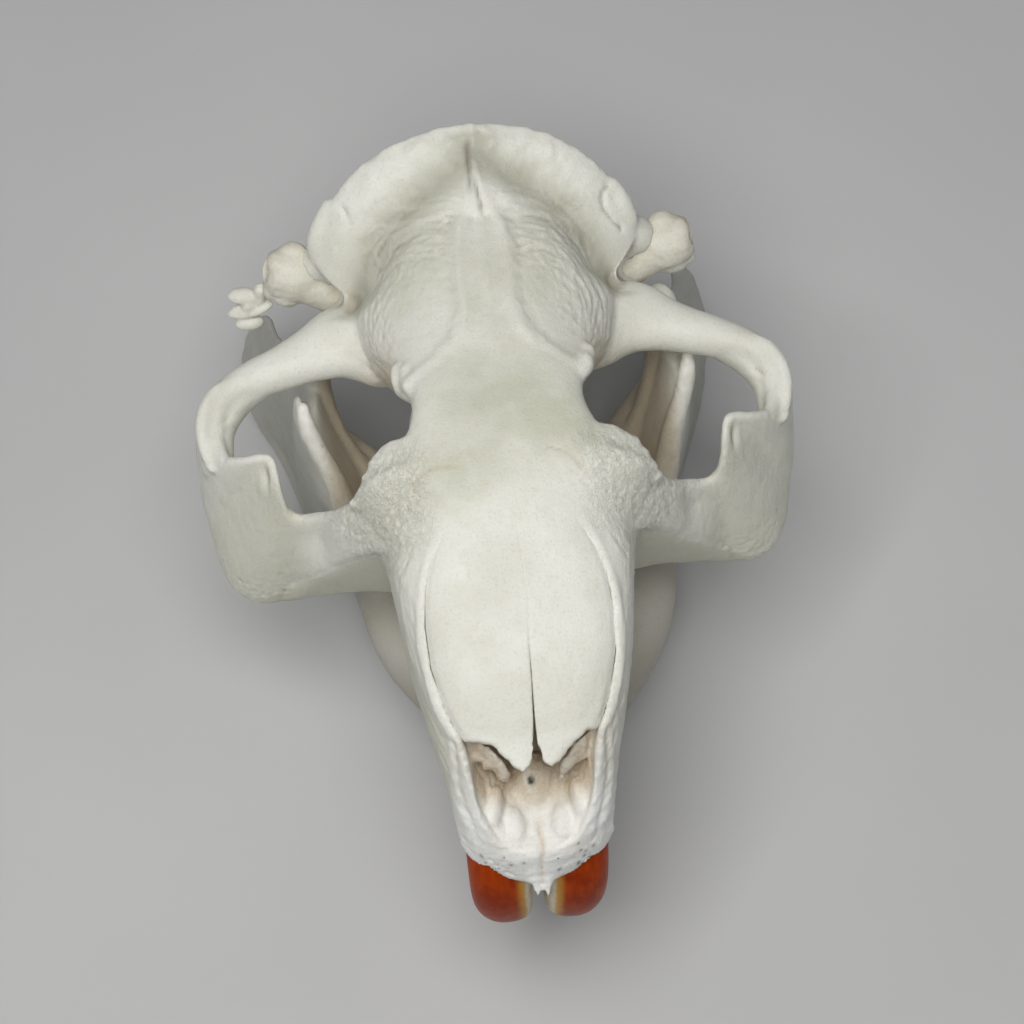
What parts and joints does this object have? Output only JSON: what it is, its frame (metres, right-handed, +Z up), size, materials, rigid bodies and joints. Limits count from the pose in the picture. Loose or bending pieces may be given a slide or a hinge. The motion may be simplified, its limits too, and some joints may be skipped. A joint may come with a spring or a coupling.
{
  "type": "beaver skull",
  "caption": "Skull of a large adult beaver with its lower jaw closed beneath it: wide cheek arches, a flared crest at the back and long curved gnawing teeth.",
  "frame": {"origin": "middle of the bounding box in plan, on the surface that the lower jaw rests on", "axes": "+Z up; +Y from the nose towards the back of the head; +X towards the animal's left"},
  "size_m": [0.106, 0.1322, 0.09],
  "materials": {
    "bone": "cleaned ivory bone, satin where smooth and chalky where rough",
    "enamel": "glossy orange-brown enamel with a pale worn inner edge"
  },
  "bodies": {
    "root": {"rostrum": "bone", "orbital_block": "bone", "braincase": "bone", "occiput": "bone", "zygomatic_arch_left": "bone", "zygomatic_arch_right": "bone", "nasal_left": "bone", "nasal_right": "bone", "ear_bone_left": "bone", "ear_bone_right": "bone", "bone_chip_right": "bone", "mandible_left": "bone", "mandible_right": "bone", "upper_incisor_left": "enamel", "upper_incisor_right": "enamel", "lower_incisor_left": "enamel", "lower_incisor_right": "enamel"}
  },
  "joints": []
}
